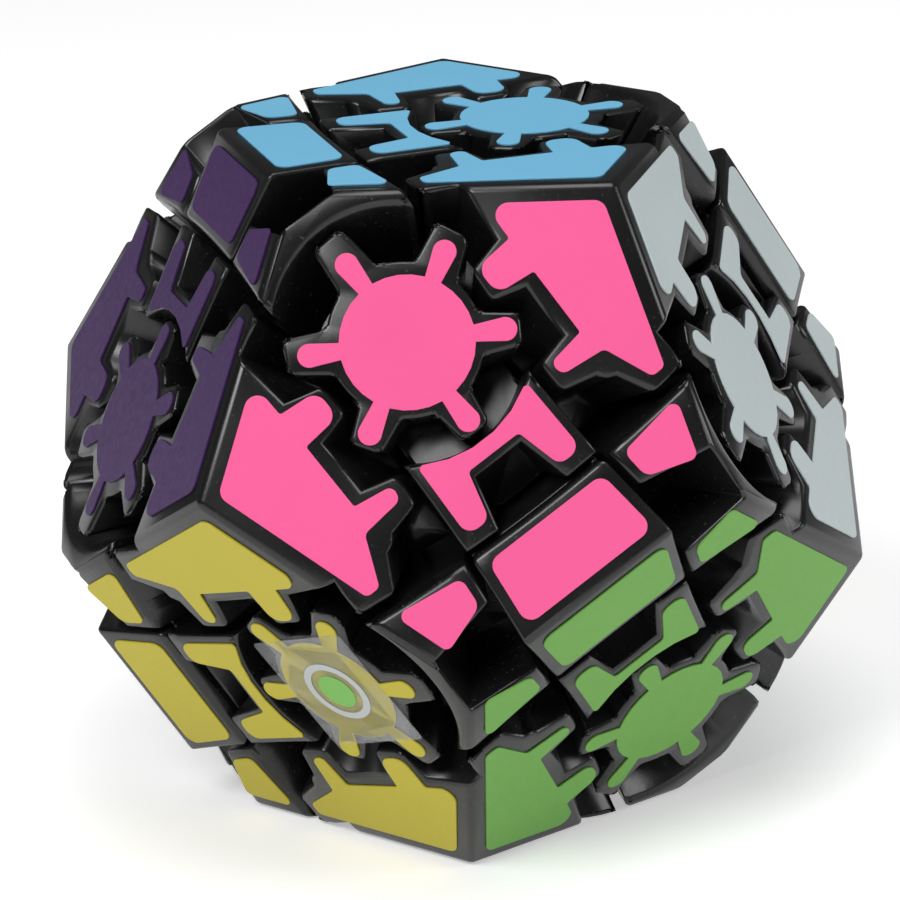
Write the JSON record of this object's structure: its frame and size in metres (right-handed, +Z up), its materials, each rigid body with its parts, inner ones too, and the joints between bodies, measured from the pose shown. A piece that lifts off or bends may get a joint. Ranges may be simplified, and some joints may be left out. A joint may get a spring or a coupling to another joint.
{
  "type": "geared dodecahedron puzzle",
  "caption": "Twelve-sided twisty puzzle with a toothed gear on each face; layers, slices and gears turn together about three axes.",
  "frame": {"origin": "centre of the face it rests on, which is the bottom centre of its box", "axes": "+Z up through two opposite faces, +X along the longest extent, -Y towards the front axis ridge; the puzzle turns about the axis (-0.526, 0, 0.851) through (0, 0, 0.0325)"},
  "size_m": [0.0784, 0.076, 0.065],
  "materials": {
    "corner_black": "moulded black ABS, semi-gloss, lightly rubbed on the ridges",
    "edge_black": "moulded black ABS, semi-gloss",
    "gear_black": "moulded black ABS, semi-gloss, slightly rubbed tooth tips",
    "center_black": "moulded black ABS, semi-gloss",
    "core_plastic": "plain moulded nylon",
    "zinc_steel": "zinc plated steel screw",
    "spring_steel": "drawn spring wire",
    "washer_steel": "stamped steel washer",
    "sticker_pink": "printed-colour self-adhesive vinyl, 0.16 mm thick",
    "sticker_green": "printed-colour self-adhesive vinyl, 0.16 mm thick",
    "sticker_yellow": "printed-colour self-adhesive vinyl, 0.16 mm thick",
    "sticker_sky_blue": "printed-colour self-adhesive vinyl, 0.16 mm thick",
    "sticker_purple": "printed-colour self-adhesive vinyl, 0.16 mm thick",
    "sticker_silver": "printed-colour self-adhesive vinyl, 0.16 mm thick",
    "sticker_red": "printed-colour self-adhesive vinyl, 0.16 mm thick",
    "sticker_orange": "printed-colour self-adhesive vinyl, 0.16 mm thick",
    "sticker_dark_blue": "printed-colour self-adhesive vinyl, 0.16 mm thick",
    "sticker_white": "printed-colour self-adhesive vinyl, 0.16 mm thick",
    "sticker_dark_green": "printed-colour self-adhesive vinyl, 0.16 mm thick",
    "sticker_cream": "printed-colour self-adhesive vinyl, 0.16 mm thick",
    "clear_film": "thin clear film with a plain printed ring"
  },
  "bodies": {
    "base_layer": {"center_base_base": "center_black", "center_cap_base": "center_black", "corner_base_left_back": "corner_black", "corner_base_left_front": "corner_black", "corner_base_right_back": "corner_black", "corner_base_right_front": "corner_black", "edge_body_base_back": "edge_black", "edge_body_base_front": "edge_black", "edge_body_base_left": "edge_black", "edge_body_base_right": "edge_black", "gear_base_back": "gear_black", "gear_base_front": "gear_black", "gear_base_left": "gear_black", "gear_base_right": "gear_black", "gear_screws_base": "zinc_steel"},
    "middle_slice": {"center_base_back": "center_black", "center_base_front": "center_black", "center_base_left": "center_black", "center_base_right": "center_black", "center_cap_back": "center_black", "center_cap_front": "center_black", "center_cap_left": "center_black", "center_cap_right": "center_black", "center_screws": "zinc_steel", "center_springs": "spring_steel", "center_washers": "washer_steel", "core": "core_plastic", "edge_body_left_back": "edge_black", "edge_body_left_front": "edge_black", "edge_body_right_back": "edge_black", "edge_body_right_front": "edge_black"},
    "top_layer": {"center_base_top": "center_black", "center_cap_top": "center_black", "corner_top_left_back": "corner_black", "corner_top_left_front": "corner_black", "corner_top_right_back": "corner_black", "corner_top_right_front": "corner_black", "edge_body_top_back": "edge_black", "edge_body_top_front": "edge_black", "edge_body_top_left": "edge_black", "edge_body_top_right": "edge_black", "gear_screws_top": "zinc_steel", "gear_top_back": "gear_black", "gear_top_front": "gear_black", "gear_top_left": "gear_black", "gear_top_right": "gear_black"},
    "gear_left_front": {"gear_left_front": "gear_black", "gear_screw_left_front": "zinc_steel"},
    "gear_left_back": {"gear_left_back": "gear_black", "gear_screw_left_back": "zinc_steel"},
    "gear_right_front": {"gear_right_front": "gear_black", "gear_screw_right_front": "zinc_steel"},
    "gear_right_back": {"gear_right_back": "gear_black", "gear_screw_right_back": "zinc_steel"}
  },
  "joints": [
    {"name": "slice_turn", "type": "hinge", "parent": "base_layer", "child": "middle_slice", "pos_m": [0, 0, 0.0325], "axis": [-0.5257, 0, 0.8507], "continuous": true},
    {"name": "top_layer_turn", "type": "hinge", "parent": "middle_slice", "child": "top_layer", "pos_m": [0, 0, 0.0325], "axis": [-0.5257, 0, 0.8507], "continuous": true},
    {"name": "gear_left_front_spin", "type": "hinge", "parent": "middle_slice", "child": "gear_left_front", "pos_m": [0, 0, 0.0325], "axis": [-0.6015, -0.7071, -0.3717], "continuous": true},
    {"name": "gear_left_back_spin", "type": "hinge", "parent": "middle_slice", "child": "gear_left_back", "pos_m": [0, 0, 0.0325], "axis": [-0.6015, 0.7071, -0.3717], "continuous": true},
    {"name": "gear_right_front_spin", "type": "hinge", "parent": "middle_slice", "child": "gear_right_front", "pos_m": [0, 0, 0.0325], "axis": [0.6015, -0.7071, 0.3717], "continuous": true},
    {"name": "gear_right_back_spin", "type": "hinge", "parent": "middle_slice", "child": "gear_right_back", "pos_m": [0, 0, 0.0325], "axis": [0.6015, 0.7071, 0.3717], "continuous": true}
  ],
  "couplings": [
    {"joint": "top_layer_turn", "follows": "slice_turn", "ratio": 1},
    {"joint": "gear_left_front_spin", "follows": "slice_turn", "ratio": -3.3333},
    {"joint": "gear_left_back_spin", "follows": "slice_turn", "ratio": -3.3333},
    {"joint": "gear_right_front_spin", "follows": "slice_turn", "ratio": -3.3333},
    {"joint": "gear_right_back_spin", "follows": "slice_turn", "ratio": -3.3333}
  ]
}
